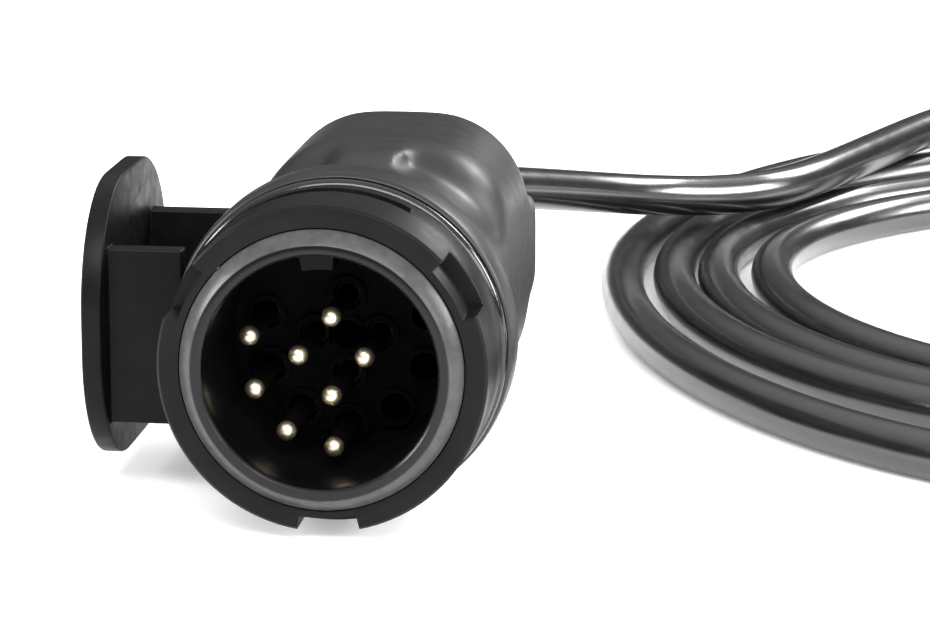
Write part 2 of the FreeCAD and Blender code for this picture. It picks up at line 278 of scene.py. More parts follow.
def soften(piece: bpy.types.Object, width: float, steps: int = 2, angle: float = 30.0) -> None:
    """Round a piece's sharp edges and shade the rest smooth.

    Args:
        piece: the piece to work on.
        width: the rounding, in millimetres.
        steps: how many faces the rounding gets.
        angle: edges sharper than this many degrees are rounded.
    """
    pick(piece)
    rounding = piece.modifiers.new("rounding", "BEVEL")
    rounding.width = width * MM
    rounding.segments = steps
    rounding.limit_method = "ANGLE"
    rounding.angle_limit = math.radians(angle)
    rounding.use_clamp_overlap = True
    bpy.ops.object.modifier_apply(modifier=rounding.name)
    smooth(piece, angle)


def smooth(piece: bpy.types.Object, angle: float = 35.0) -> None:
    """Shade a piece smooth up to an angle in degrees."""
    pick(piece)
    bpy.ops.object.shade_smooth_by_angle(angle=math.radians(angle))


def copy_to(piece: bpy.types.Object, name: str, shift: Vector) -> bpy.types.Object:
    """Copy a piece with its own mesh, moved within the mesh."""
    twin = piece.copy()
    twin.data = piece.data.copy()
    twin.name = name
    twin.data.name = name
    bpy.context.scene.collection.objects.link(twin)
    pick(twin)
    twin.location = shift
    bpy.ops.object.transform_apply(location=True, rotation=False, scale=False)
    return twin


def dress(piece: bpy.types.Object, material: bpy.types.Material, body: str, slot: str, *nodes: str) -> None:
    """Give a finished piece its material and body, and hide the nodes that it replaces.

    Args:
        piece: the finished piece.
        material: its material.
        body: the body that it rides on.
        slot: not used.
        nodes: the nodes that it stands for.
    """
    piece.data.materials.clear()
    piece.data.materials.append(material)
    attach(piece, body)
    if nodes:
        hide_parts(*nodes)
    log.info("%s on %s", piece.name, body)


# ---- finishes ---------------------------------------------------------------
class Shader:
    """A new node material with its principled shader and object coordinates."""

    def __init__(self, name: str) -> None:
        """Start the material.

        Args:
            name: the material's name.
        """
        self.material = bpy.data.materials.new(name)
        self.material.use_nodes = True
        self.nodes = self.material.node_tree.nodes
        self.links = self.material.node_tree.links
        self.surface = self.nodes["Principled BSDF"]
        self.place = self.nodes.new("ShaderNodeTexCoord").outputs["Object"]

    def put(self, socket: str, value: float | tuple[float, ...]) -> None:
        """Set one of the shader's own sockets."""
        self.surface.inputs[socket].default_value = value

    def noise(self, size: float, detail: float = 3.0,
              stretch: Colour = (1.0, 1.0, 1.0)) -> bpy.types.NodeSocket:
        """Add a noise whose features are about a size in millimetres across.

        Args:
            size: the size of its features.
            detail: how much finer detail it has.
            stretch: how much longer the features are along each axis.

        Returns:
            The noise's value.
        """
        mapping = self.nodes.new("ShaderNodeMapping")
        mapping.inputs["Scale"].default_value = tuple(1 / (size * MM * s) for s in stretch)
        self.links.new(self.place, mapping.inputs["Vector"])
        noise = self.nodes.new("ShaderNodeTexNoise")
        noise.inputs["Scale"].default_value = 1.0
        noise.inputs["Detail"].default_value = detail
        self.links.new(mapping.outputs["Vector"], noise.inputs["Vector"])
        return noise.outputs["Fac"]

    def spread(self, value: bpy.types.NodeSocket, low: float, high: float,
               start: float = 0.3, end: float = 0.7) -> bpy.types.NodeSocket:
        """Map a noise from its usual range to a wanted one.

        Args:
            value: the noise.
            low: the result at the start of its range.
            high: the result at the end of its range.
            start: where its range starts.
            end: where its range ends.

        Returns:
            The mapped value.
        """
        ranged = self.nodes.new("ShaderNodeMapRange")
        ranged.inputs["From Min"].default_value = start
        ranged.inputs["From Max"].default_value = end
        ranged.inputs["To Min"].default_value = low
        ranged.inputs["To Max"].default_value = high
        self.links.new(value, ranged.inputs["Value"])
        return ranged.outputs["Result"]

    def times(self, first: bpy.types.NodeSocket, second: bpy.types.NodeSocket) -> bpy.types.NodeSocket:
        """Multiply two values."""
        product = self.nodes.new("ShaderNodeMath")
        product.operation = "MULTIPLY"
        self.links.new(first, product.inputs[0])
        self.links.new(second, product.inputs[1])
        return product.outputs[0]

    def blend(self, value: bpy.types.NodeSocket, first: Colour, second: Colour) -> bpy.types.NodeSocket:
        """Mix two colours by a value."""
        mix = self.nodes.new("ShaderNodeMix")
        mix.data_type = "RGBA"
        mix.inputs["A"].default_value = (*first, 1.0)
        mix.inputs["B"].default_value = (*second, 1.0)
        self.links.new(value, mix.inputs["Factor"])
        return mix.outputs["Result"]

    def relief(self, value: bpy.types.NodeSocket, depth: float, strength: float = 1.0) -> None:
        """Raise the surface by a value, on top of any relief before it.

        Args:
            value: the height, from 0 to 1.
            depth: the height of 1, in millimetres.
            strength: how strongly it shows.
        """
        bump = self.nodes.new("ShaderNodeBump")
        bump.inputs["Distance"].default_value = depth * MM
        bump.inputs["Strength"].default_value = strength
        self.links.new(value, bump.inputs["Height"])
        if self.surface.inputs["Normal"].is_linked:
            self.links.new(self.surface.inputs["Normal"].links[0].from_socket, bump.inputs["Normal"])
        self.links.new(bump.outputs["Normal"], self.surface.inputs["Normal"])


def lighter(colour: Colour, share: float) -> Colour:
    """Give a colour with a share of its brightness added."""
    return tuple(min(1.0, c * (1 + share) + 0.004 * share) for c in colour)


@dataclass(frozen=True)
class Moulding:
    """Injection-moulded plastic with spark-eroded grain and handling marks."""

    name: str
    colour: Colour
    roughness: float
    grain: float = 0.35
    grain_depth: float = 0.02
    scuff: float = 0.08
    gloss: float = 0.35

    def make(self) -> bpy.types.Material:
        """Build the material."""
        shader = Shader(self.name)
        dust = shader.noise(9.0, 4.0)
        shader.links.new(shader.blend(shader.spread(dust, 0, 1), self.colour, lighter(self.colour, 0.35)),
                         shader.surface.inputs["Base Color"])
        wear = shader.noise(2.2, 5.0)
        shader.links.new(shader.spread(wear, self.roughness - self.scuff, self.roughness + self.scuff),
                         shader.surface.inputs["Roughness"])
        shader.put("Specular IOR Level", self.gloss)
        shader.relief(shader.noise(self.grain, 2.0), self.grain_depth)
        return shader.material


@dataclass(frozen=True)
class Insert:
    """Gloss black nylon, painted lighter on the rim's chamfer as a highlight and darker inside the shroud as
    shade, and dull on the contact plate.
    """

    # black deeper in than the mouth, front at the mouth: the darker inside is painted shade in the shroud's
    # recess
    black: Colour = (0.0018, 0.0018, 0.0021)
    # lighter grey for the chamfer: painted highlight
    chamfer_highlight: Colour = (0.050, 0.048, 0.047)
    front: Colour = (0.0030, 0.0030, 0.0034)
    chamfer: tuple[float, float] = (16.85, 18.7)
    chamfer_depth: float = 1.95
    mouth_depth: float = 0.5
    plate: float = 21.0
    sheen_fade: tuple[float, float] = (2.0, 3.0)
    front_gloss: float = 0.24
    deep_gloss: float = 0.07

    def band(self, shader: Shader, value: bpy.types.NodeSocket,
             low: float, high: float, soft: float) -> bpy.types.NodeSocket:
        """Give 1 between two distances in millimetres and 0 outside them.

        Args:
            shader: the shader to add to.
            value: the distance, in metres.
            low: where the band starts.
            high: where the band ends.
            soft: how far its edges fade.

        Returns:
            The band's share.
        """
        rise = shader.spread(value, 0, 1, (low - soft) * MM, (low + soft) * MM)
        fall = shader.spread(value, 1, 0, (high - soft) * MM, (high + soft) * MM)
        return shader.times(rise, fall)

    def make(self) -> bpy.types.Material:
        """Build the material from the distance to the axis and to the rim."""
        shader = Shader("insert_gloss_black")
        centred = shader.nodes.new("ShaderNodeMapping")
        centred.inputs["Location"].default_value = (-AXIS.x, -AXIS.front, -AXIS.z)
        shader.links.new(shader.place, centred.inputs["Vector"])
        parts = shader.nodes.new("ShaderNodeSeparateXYZ")
        shader.links.new(centred.outputs["Vector"], parts.inputs["Vector"])
        flat = shader.nodes.new("ShaderNodeCombineXYZ")
        shader.links.new(parts.outputs["X"], flat.inputs["X"])
        shader.links.new(parts.outputs["Z"], flat.inputs["Z"])
        length = shader.nodes.new("ShaderNodeVectorMath")
        length.operation = "LENGTH"
        shader.links.new(flat.outputs["Vector"], length.inputs[0])
        depth, radius = parts.outputs["Y"], length.outputs["Value"]
        # the chamfer band takes the lighter grey in noisy patches: painted highlight
        chamfer = shader.times(self.band(shader, radius, self.chamfer[0], self.chamfer[1], 0.12),
                               self.band(shader, depth, -1.0, self.chamfer_depth, 0.1))
        patchy_highlight = shader.times(chamfer, shader.spread(shader.noise(1.2, 6.0), 0.7, 1.0, 0.35, 0.62))
        # surfaces deeper than the mouth take the darker black: painted shade in the recess
        mouth = self.band(shader, depth, -1.0, self.mouth_depth, 0.1)
        base = shader.blend(mouth, self.black, self.front)
        mix = shader.nodes.new("ShaderNodeMix")
        mix.data_type = "RGBA"
        mix.inputs["B"].default_value = (*self.chamfer_highlight, 1.0)
        shader.links.new(base, mix.inputs["A"])
        shader.links.new(patchy_highlight, mix.inputs["Factor"])
        shader.links.new(mix.outputs["Result"], shader.surface.inputs["Base Color"])
        dull = shader.spread(depth, 0.27, 0.75, 0.0, self.plate * MM)
        shader.links.new(dull, shader.surface.inputs["Roughness"])
        sheen = shader.spread(depth, self.front_gloss, self.deep_gloss,
                              self.sheen_fade[0] * MM, self.sheen_fade[1] * MM)
        shader.links.new(sheen, shader.surface.inputs["Specular IOR Level"])
        shader.relief(shader.noise(0.5, 3.0), 0.012)
        return shader.material


@dataclass(frozen=True)
class Rubber:
    """Smooth dark rubber or soft cable jacket."""

    name: str
    colour: Colour
    roughness: float
    ripple: float = 0.02
    gloss: float = 0.5

    def make(self) -> bpy.types.Material:
        """Build the material."""
        shader = Shader(self.name)
        shader.put("Specular IOR Level", self.gloss)
        bloom = shader.noise(6.0, 4.0)
        shader.links.new(shader.blend(shader.spread(bloom, 0, 1), self.colour, lighter(self.colour, 0.5)),
                         shader.surface.inputs["Base Color"])
        shader.links.new(shader.spread(shader.noise(5.0, 3.0), self.roughness - 0.03, self.roughness + 0.03),
                         shader.surface.inputs["Roughness"])
        shader.relief(shader.noise(1.1, 3.0), self.ripple)
        return shader.material


@dataclass(frozen=True)
class Metal:
    """Turned or plated metal, whose colour can be darkened behind a stated depth as painted shade."""

    name: str
    colour: Colour
    roughness: float
    turning: float = 0.0003
    dark_depth: float | None = None
    # near-black painted shade for the shanks, which are plated metal all along
    painted_shank_shade: Colour = (0.060, 0.055, 0.045)

    def make(self) -> bpy.types.Material:
        """Build the material, with fine turning lines across the plug's axis."""
        shader = Shader(self.name)
        shader.put("Metallic", 1.0)
        tarnish = shader.noise(1.6, 4.0)
        dull = tuple(c * 0.82 for c in self.colour)
        tint = shader.blend(shader.spread(tarnish, 0, 1), self.colour, dull)
        # behind dark_depth the colour turns near-black: painted shade, standing in for the dark cavity that
        # the shanks reflect
        if self.dark_depth is not None:
            parts = shader.nodes.new("ShaderNodeSeparateXYZ")
            shader.links.new(shader.place, parts.inputs["Vector"])
            start = AXIS.front + self.dark_depth * MM
            mix = shader.nodes.new("ShaderNodeMix")
            mix.data_type = "RGBA"
            mix.inputs["B"].default_value = (*self.painted_shank_shade, 1.0)
            shader.links.new(tint, mix.inputs["A"])
            shader.links.new(shader.spread(parts.outputs["Y"], 0, 1, start, start + MM), mix.inputs["Factor"])
            tint = mix.outputs["Result"]
        shader.links.new(tint, shader.surface.inputs["Base Color"])
        shader.links.new(shader.spread(shader.noise(0.8, 4.0), self.roughness * 0.85, self.roughness * 1.2),
                         shader.surface.inputs["Roughness"])
        if self.turning:
            shader.relief(shader.noise(0.12, 1.0, (40.0, 1.0, 40.0)), self.turning)
        return shader.material


class Palette:
    """All materials of the plug, made once."""

    def __init__(self) -> None:
        """Build every material."""
        self.insert = Insert().make()
        self.ring = Moulding("ring_satin_black", (0.0030, 0.0029, 0.0033),
                             0.40, 0.3, 0.012, 0.05, 0.11).make()
        self.shell = Moulding("shell_satin_black", (0.0070, 0.0068, 0.0074),
                              0.42, 0.4, 0.012, 0.05, 0.33).make()
        self.wing = Moulding("wing_satin_black", (0.0018, 0.0018, 0.0021),
                             0.42, 0.35, 0.010, 0.06, 0.11).make()
        self.nut = Moulding("nut_satin_black", (0.0050, 0.0050, 0.0056), 0.42).make()
        self.clamp = Moulding("clamp_nylon", (0.012, 0.012, 0.013), 0.5).make()
        self.seal = Rubber("greased_seal", (0.003, 0.003, 0.003), 0.15).make()
        self.jacket = Rubber("jacket_black", (0.0040, 0.0040, 0.0047), 0.22, 0.004, 1.0).make()
        # the contacts turn to painted shade behind 10.2 mm
        self.contact = Metal("plated_contact", (0.96, 0.84, 0.60), 0.36, 0.0, 10.2).make()
        self.steel = Metal("zinc_steel", (0.62, 0.62, 0.64), 0.3).make()
        self.copper = Metal("tinned_copper", (0.80, 0.77, 0.74), 0.35).make()
        colours = {
            "yellow": (0.75, 0.55, 0.03), "blue": (0.03, 0.10, 0.45), "white": (0.75, 0.75, 0.72),
            "green": (0.03, 0.28, 0.07), "brown": (0.16, 0.06, 0.02), "red": (0.50, 0.02, 0.02),
            "black": (0.015, 0.015, 0.016), "grey": (0.22, 0.22, 0.23),
        }
        self.cores = [Rubber("core_" + name, colour, 0.38, 0.008).make() for name, colour in colours.items()]


# ---- lead -------------------------------------------------------------------
@dataclass
class Lead:
    """The cable: out of the gland, down to the table and into four loose turns."""

    radius: float = 3.5
    length: float = 2.559
    points_per_turn: int = 24
    middle: tuple[float, float] = (112.0, 168.0)
    height: float = 3.5
    first_angle: float = 55.0
    last_angle: float = 85.0
    left: tuple[float, ...] = (24.0, 32.5, 40.0, 49.0, 58.0)
    right: tuple[float, ...] = (180.0, 171.5, 163.0, 154.5, 147.0)
    front: tuple[float, ...] = (30.4, 56.5, 65.5, 79.0, 90.0)
    back: tuple[float, ...] = (313.0, 299.0, 278.3, 254.7, 241.0)
    left_roundness: float = 1.9
    right_roundness: float = 2.2
    way_down: tuple[Colour, ...] = (
        (0.0, 112.0, 23.0), (0.0, 125.0, 22.9), (5.0, 137.0, 21.8), (12.0, 153.0, 18.6), (19.5, 168.5, 15.3),
        (28.0, 181.0, 12.6), (38.0, 189.5, 11.1), (47.0, 197.5, 10.8), (54.0, 210.0, 10.8),
        (60.0, 226.0, 10.8),
        (66.0, 243.0, 10.8), (72.5, 261.0, 10.8), (80.0, 278.0, 10.8), (89.0, 293.0, 10.8),
        (99.5, 304.0, 10.8),
        (113.0, 310.5, 10.3), (127.5, 311.0, 7.8), (140.0, 306.0, 5.6),
    )
    way_out: tuple[Colour, ...] = (
        (128.5, 236.0, 3.5), (137.3, 226.0, 3.5), (141.0, 212.5, 3.5), (139.5, 198.0, 3.5),
        (131.0, 187.0, 3.5), (118.0, 181.5, 3.5), (103.0, 181.5, 3.5),
    )
    piece: bpy.types.Object = field(init=False, default=None)

    def on_table(self, point: Colour) -> Vector:
        """Give a cable point, with its height over the table, in the frame."""
        return Vector((AXIS.x + point[0] * MM, AXIS.front + point[1] * MM, point[2] * MM))

    def turn_point(self, angle: float, size: float) -> Colour:
        """Give a point of the coil.

        Args:
            angle: the point's bearing from the coil's middle, in degrees.
            size: how many turns in it lies; a part of a turn lies between two.

        Returns:
            The point, in millimetres off the plug's axis and rim.
        """
        inner = min(int(size), len(self.left) - 1)
        outer = min(inner + 1, len(self.left) - 1)
        share = size - inner
        left, right, front, back = (
            edges[inner] * (1 - share) + edges[outer] * share
            for edges in (self.left, self.right, self.front, self.back))
        across = math.cos(math.radians(angle))
        deep = math.sin(math.radians(angle))
        power = 2.0 / (self.right_roundness if across > 0 else self.left_roundness)
        x = self.middle[0] + ((right if across > 0 else left) - self.middle[0]) * abs(across) ** power
        y = self.middle[1] + ((back if deep > 0 else front) - self.middle[1]) * abs(deep) ** power
        return (x, y, self.height)

    def turns(self) -> list[Colour]:
        """Work out the coil's turns, each a little inside the one before."""
        step = 360.0 / self.points_per_turn
        whole = 360.0 * 4 + self.first_angle - self.last_angle
        points = []
        for index in range(int(whole / step) + 1):
            angle = self.first_angle - index * step
            since_left = (-180.0 - angle) / 360.0
            turn = math.floor(since_left)
            share = min(1.0, (since_left - turn) * 6)
            points.append(self.turn_point(angle, max(0.0, turn + share * share * (3 - 2 * share))))
        x, y, z = points[0]
        points[0] = (x, y, z + 0.8)
        return points

    def build(self) -> None:
        """Make the cable as one smooth curve."""
        points = [self.on_table(p) for p in (*self.way_down, *self.turns(), *self.way_out)]
        curve = bpy.data.curves.new("lead", "CURVE")
        curve.dimensions = "3D"
        curve.bevel_depth = self.radius * MM
        curve.bevel_resolution = 8
        curve.use_fill_caps = True
        curve.resolution_u = 8
        spline = curve.splines.new("NURBS")
        spline.points.add(len(points) - 1)
        for knot, place in zip(spline.points, points):
            knot.co = (*place, 1.0)
        spline.order_u = 3
        spline.use_endpoint_u = True
        self.piece = bpy.data.objects.new("lead", curve)
        bpy.context.scene.collection.objects.link(self.piece)

    def bare_cores(self, palette: Palette) -> list[bpy.types.Object]:
        """Split the cores at the bare end, so that each has its own colour.

        Args:
            palette: all materials.

        Returns:
            The cores.
        """
        bundle = bpy.data.objects.new("tail_core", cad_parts["tail_cores"].data.copy())
        bpy.context.scene.collection.objects.link(bundle)
        tidy(bundle)
        bpy.ops.object.mode_set(mode="EDIT")
        bpy.ops.mesh.separate(type="LOOSE")
        bpy.ops.object.mode_set(mode="OBJECT")
        cores = sorted(bpy.context.selected_objects, key=lambda core: core.name)
        for number, (core, material) in enumerate(zip(cores, palette.cores), 1):
            core.name = "tail_core_%d" % number
            smooth(core, 40)
            dress(core, material, PLUG, "core_insulation", "tail_cores")
        return cores

    def dress(self, palette: Palette) -> None:
        """Give the cable its jacket and the bare cores their colours."""
        cores = self.bare_cores(palette)
        dress(self.piece, palette.jacket, PLUG, "cable_jacket", "cable_lead", "cable_coil", "cable_tail")


# ---- studio -----------------------------------------------------------------
@dataclass
class Studio:
    """Camera, white table and soft light."""

    lens: float = 151.0
    heading: float = -7.4014
    pitch: float = 12.655
    eye: Colour = (81.2, -479.4, 139.64)
    floor_glow: float = 0.24
    sky_low: float = 0.12
    sky_high: float = 1.3

    def build(self) -> None:
        """Set up the camera, floor, lights and surroundings."""
        self.camera()
        self.table()
        self.lights()

    def camera(self) -> None:
        """Place the camera in front of the mating face, a little above and to the right."""
        lens = bpy.data.cameras.new("camera")
        lens.lens = self.lens
        lens.sensor_width = 36.0
        lens.clip_start = 0.01
        eye = bpy.data.objects.new("camera", lens)
        bpy.context.scene.collection.objects.link(eye)
        eye.location = (AXIS.x + self.eye[0] * MM, AXIS.front + self.eye[1] * MM, self.eye[2] * MM)
        eye.rotation_euler = (math.radians(90.0 - self.pitch), 0.0, -math.radians(self.heading))
        bpy.context.scene.camera = eye

    def table(self) -> None:
        """Lay a plain pale floor."""
        deselect()
        bpy.ops.mesh.primitive_plane_add(size=12.0, location=(0, 2.0, 0))
        floor = settle("floor")
        shader = Shader("pale_floor")
        shader.put("Base Color", (0.93, 0.93, 0.935, 1.0))
        shader.put("Roughness", 0.6)
        shader.put("Specular IOR Level", 0.2)
        shader.put("Emission Color", (1.0, 1.0, 1.0, 1.0))
        shader.put("Emission Strength", self.floor_glow)
        floor.data.materials.append(shader.material)

    def lights(self) -> None:
        """Hang soft boxes round the table and fill with a pale sky."""
        world = bpy.data.worlds.new("surroundings")
        world.use_nodes = True
        world.node_tree.nodes["Background"].inputs["Color"].default_value = (1.0, 1.0, 1.0, 1.0)
        self.sky(world.node_tree)
        bpy.context.scene.world = world
        bpy.context.scene.view_settings.view_transform = "Standard"
        self.soft_box("front_top_box", (0.10, -0.60, 0.65), (0.9, 0.35), 9.5)
        self.soft_box("right_box", (0.75, 0.10, 0.30), (0.35, 0.3), 7.5)
        self.soft_box("front_right_box", (0.60, -0.60, 0.30), (0.6, 0.3), 5.0)
        self.soft_box("rear_right_box", (0.50, 0.70, 0.50), (0.35, 0.25), 5.0)
        self.soft_box("left_box", (-0.75, -0.25, 0.30), (0.35, 0.3), 7.0)

    def sky(self, tree: bpy.types.NodeTree) -> None:
        """Make the surroundings bright overhead and dim near the table.

        Args:
            tree: the surroundings' nodes.
        """
        direction = tree.nodes.new("ShaderNodeTexCoord").outputs["Generated"]
        height = tree.nodes.new("ShaderNodeSeparateXYZ")
        tree.links.new(direction, height.inputs["Vector"])
        ramp = tree.nodes.new("ShaderNodeMapRange")
        ramp.inputs["From Min"].default_value = 0.30
        ramp.inputs["From Max"].default_value = 0.85
        ramp.inputs["To Min"].default_value = self.sky_low
        ramp.inputs["To Max"].default_value = self.sky_high
        tree.links.new(height.outputs["Z"], ramp.inputs["Value"])
        tree.links.new(ramp.outputs["Result"], tree.nodes["Background"].inputs["Strength"])

    def soft_box(self, name: str, place: Colour, size: tuple[float, float], power: float) -> None:
        """Hang one area light that faces the plug.

        Args:
            name: the light's name.
            place: where it hangs, in metres.
            size: its width and height, in metres.
            power: its power in watts.
        """
        light = bpy.data.lights.new(name, "AREA")
        light.shape = "RECTANGLE"
        light.size, light.size_y = size
        light.energy = power
        lamp = bpy.data.objects.new(name, light)
        bpy.context.scene.collection.objects.link(lamp)
        lamp.location = place
        aim = AXIS.at(0, 30, 0) - Vector(place)
        lamp.rotation_euler = aim.to_track_quat("-Z", "Y").to_euler()


# ---- contact insert ---------------------------------------------------------
@dataclass
class ContactInsert:
    """Shroud, contact plate and key in one glossy moulding, with its contacts."""

    rim: float = 16.9
    outer: float = 18.6
    bore: float = 15.3
    seat: float = 17.5
    shoulder: float = 13.0
    plate: float = 24.0
    rear: float = 38.0
    cavity: float = 2.0
    boss: float = 2.75
    boss_height: float = 0.9
    key: tuple[float, float] = (4.6, 2.3)
    key_angle: float = 93.0
    key_start: float = 3.5
    pin: float = 1.3
    pin_tip: float = 9.0
    outer_pitch: tuple[float, float] = (11.1, 12.2)
    outer_angles: tuple[float, float, int] = (168.4, 34.3, 8)
    inner_pitch: tuple[float, float] = (4.4, 5.3)
    inner_count: int = 4

    def cavities(self) -> list[Vector]:
        """Give the centre of every cavity on the contact plate, in millimetres."""
        first, step, count = self.outer_angles
        places = [self.oval(first + index * step, self.outer_pitch) for index in range(count)]
        places += [self.oval(90.0 + index * 360.0 / self.inner_count, self.inner_pitch)
                   for index in range(self.inner_count)]
        places.append(Vector((0, 0, 0)))
        return places

    @staticmethod
    def oval(angle: float, halves: tuple[float, float]) -> Vector:
        """Give a place on the contact pattern at an angle in degrees."""
        turn = math.radians(angle)
        return Vector((halves[0] * math.cos(turn), 0, halves[1] * math.sin(turn)))

    def build(self, palette: Palette) -> None:
        """Model the moulding, then its contacts."""
        body = lathe("insert_body", [
            (self.plate, self.bore), (1.0, self.bore), (0.35, self.bore + 0.12), (0.0, self.bore + 0.45),
            (0.0, self.rim - 0.15), (0.12, self.rim + 0.05), (1.65, self.outer - 0.15), (2.0, self.outer),
            (self.shoulder, self.outer), (self.shoulder, self.seat), (self.rear, self.seat), (self.rear, 0.0),
        ], 192)
        pick(body)
        bpy.ops.object.mode_set(mode="EDIT")
        bpy.ops.mesh.select_all(action="DESELECT")
        mesh = bmesh.from_edit_mesh(body.data)
        for edge in mesh.edges:
            edge.select_set(edge.is_boundary)
        bmesh.update_edit_mesh(body.data)
        bpy.ops.mesh.edge_face_add()
        bpy.ops.object.mode_set(mode="OBJECT")
        tidy(body)
        bosses = [lathe("boss", [
            (self.plate + 0.5, 0.0), (self.plate + 0.5, self.boss),
            (self.plate - self.boss_height, self.boss - 0.1),
            (self.plate - self.boss_height, 0.0)], 40, (p.x, p.z)) for p in self.cavities()]
        cut(body, join(bosses), Cut.ADD)
        holes = [lathe("hole", [
            (self.plate - 2, 0.0), (self.plate - 2, self.cavity),
            (self.rear + 1, self.cavity), (self.rear + 1, 0.0)],
            40, (p.x, p.z)) for p in self.cavities()]
        cut(body, join(holes))
        cut(body, self.key_block(), Cut.ADD)
        soften(body, 0.12, 2, 32)
        dress(body, palette.insert, PLUG, "insert_plastic", "contact_insert")
        self.contacts(palette)

    def key_block(self) -> bpy.types.Object:
        """Model the polarising key inside the shroud."""
        half = math.degrees(math.asin(self.key[0] / 2 / self.bore))
        return sector("key", (self.bore - self.key[1], self.bore + 0.8), (self.key_start, self.plate + 0.5),
                      self.key_angle - half, 2 * half)

    def contacts(self, palette: Palette) -> None:
        """Turn one contact and copy it to every fitted cavity."""
        low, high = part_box("contact_pin_1")
        first = Vector(((low[0] + high[0]) / 2, 0, (low[2] + high[2]) / 2))
        off = ((first.x - AXIS.x) / MM, (first.z - AXIS.z) / MM)
        ball = [(self.pin_tip + self.pin * (1 - math.cos(math.radians(a))),
                 self.pin * math.sin(math.radians(a)))
                for a in range(8, 120, 8)]
        pin = lathe("pin_1", [
            (self.pin_tip, 0.0), *ball, (ball[-1][0] + 0.15, 1.14), (11.6, 1.22), (24.4, 1.22), (24.8, 1.4),
            (25.0, 1.9), (38.0, 1.99),
            (38.01, 2.2), (38.15, 2.3), (45.8, 2.3), (46.0, 2.15), (46.0, 0.75), (42.2, 0.75),
            (42.2, 0.0)], 48, off)
        smooth(pin, 40)
        for number in range(1, 9):
            low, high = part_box("contact_pin_%d" % number)
            here = Vector(((low[0] + high[0]) / 2, 0, (low[2] + high[2]) / 2))
            one = pin if number == 1 else copy_to(pin, "pin_%d" % number, here - first)
            dress(one, palette.contact, PLUG, "plated_brass", "contact_pin_%d" % number)


# ---- coupling ring ----------------------------------------------------------
@dataclass
class CouplingRing:
    """Turning ring with three claws, the slot of its stop and a seal behind it."""

    bore: float = 18.9
    claw: float = 21.6
    skirt: float = 21.9
    front: float = 2.0
    claw_end: float = 8.6
    rear: float = 15.4
    wall: float = 0.8
    lip: float = 17.8
    lip_start: float = 13.3
    claws: int = 3
    claw_span: float = 98.0
    first: float = 43.0
    slot_run: tuple[float, float] = (10.5, 12.9)
    slot_start: float = 62.0
    slot_span: float = 88.0

    def build(self, palette: Palette) -> None:
        """Model the ring, cut its gaps and slot, and add the seal."""
        body = lathe("claw_ring", [
            (self.front, self.bore - 0.15), (self.front, self.claw - 0.35), (self.front + 0.35, self.claw),
            (self.claw_end, self.claw), (self.claw_end + 0.9, self.skirt), (self.rear - 0.4, self.skirt),
            (self.rear, self.skirt - 0.4), (self.rear, self.lip), (self.lip_start, self.lip),
            (self.lip_start, self.bore), (self.front + 1.5, self.bore), (self.front, self.bore - 0.15),
        ], 180)
        gap = 360.0 / self.claws - self.claw_span
        for index in range(self.claws):
            start = self.first + self.claw_span + index * 360.0 / self.claws
            cut(body, sector("gap", (self.bore + self.wall, self.claw + 2),
                             (self.front - 1, self.claw_end), start, gap))
        cut(body, sector("slot", (self.bore - 0.5, self.skirt + 2), self.slot_run,
                         self.slot_start, self.slot_span))
        soften(body, 0.22, 3, 32)
        dress(body, palette.ring, TURNING, "ring_plastic", "coupling_ring")
        low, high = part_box("ring_seal")
        radius = (high[0] - low[0]) / 2 / MM - 1.0
        middle = ((low[1] + high[1]) / 2 - AXIS.front) / MM
        round_part = [(middle + 1.0 * math.sin(math.radians(a)), radius + 1.0 * math.cos(math.radians(a)))
                      for a in range(-90, 271, 15)]
        seal = lathe("ring_seal_lip", round_part, 180)
        smooth(seal, 60)
        dress(seal, palette.seal, PLUG, "seal_rubber", "ring_seal")


